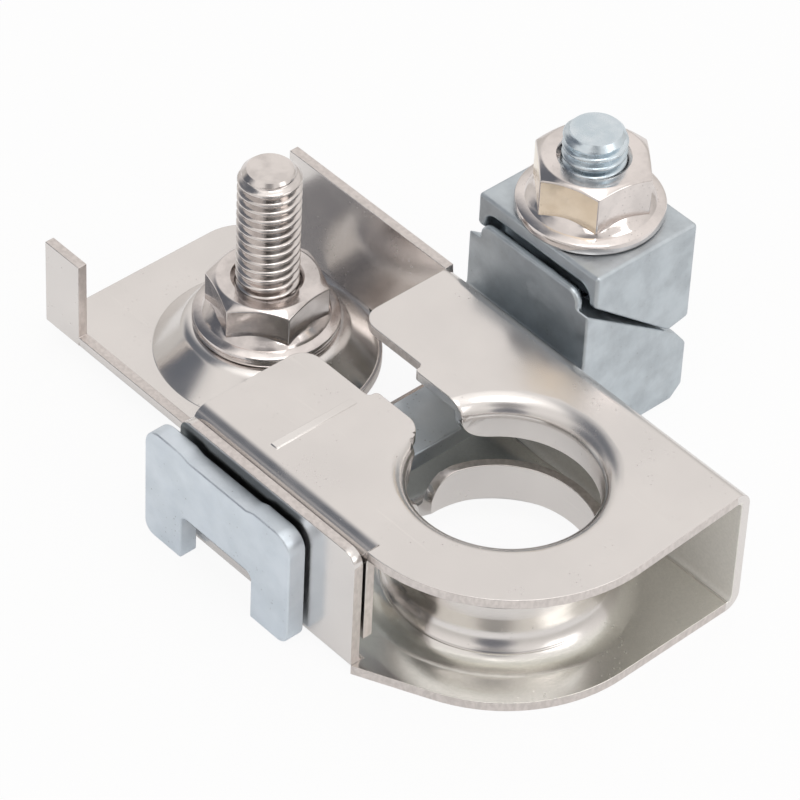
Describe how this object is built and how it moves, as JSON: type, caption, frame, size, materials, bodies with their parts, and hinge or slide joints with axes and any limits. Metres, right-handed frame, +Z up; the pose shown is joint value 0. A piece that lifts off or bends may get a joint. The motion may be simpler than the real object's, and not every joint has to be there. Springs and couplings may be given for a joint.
{
  "type": "battery terminal clamp",
  "caption": "Folded sheet clamp for a tapered battery post, with a cable stud and a bolt-driven wedge that pulls a bar across the box.",
  "frame": {"origin": "axis of the post bore, half way up the folded box", "axes": "+X towards the rounded post end, away from the cable stud; +Y towards the wedge blocks; +Z up along the bore"},
  "size_m": [0.0667, 0.0502, 0.0295],
  "materials": {
    "tinned_sheet": "bright tin plating with fine scratches",
    "stud_steel": "bright turned steel",
    "nickel": "bright nickel plating",
    "zinc": "matt zinc plating",
    "bolt_zinc": "bright zinc plating"
  },
  "bodies": {
    "clamp": {"clamp_body": "tinned_sheet", "cable_stud": "stud_steel", "lower_wedge": "zinc"},
    "cable_nut": {"cable_nut": "nickel"},
    "puller": {"pull_bar": "zinc", "wedge_bolt": "bolt_zinc"},
    "upper_block": {"upper_wedge": "zinc"},
    "wedge_nut": {"wedge_nut": "nickel"}
  },
  "joints": [
    {"name": "wedge_nut_turn", "type": "hinge", "parent": "upper_block", "child": "wedge_nut", "pos_m": [-0.0155, 0.024, 0], "axis": [0, 0, 1], "range_deg": [0, 512]},
    {"name": "pull_bar_slide", "type": "slide", "parent": "clamp", "child": "puller", "axis": [0, -1, 0], "range_m": [0, 0.002]},
    {"name": "upper_wedge_lift", "type": "slide", "parent": "puller", "child": "upper_block", "axis": [0, 0, 1], "range_m": [0, 0.00143]},
    {"name": "cable_nut_travel", "type": "slide", "parent": "clamp", "child": "cable_nut", "axis": [0, 0, 1], "range_m": [0, 0.0118]}
  ],
  "couplings": [
    {"joint": "wedge_nut_turn", "follows": "pull_bar_slide", "rad_per_m": 4468},
    {"joint": "upper_wedge_lift", "follows": "pull_bar_slide", "ratio": 0.7133}
  ]
}
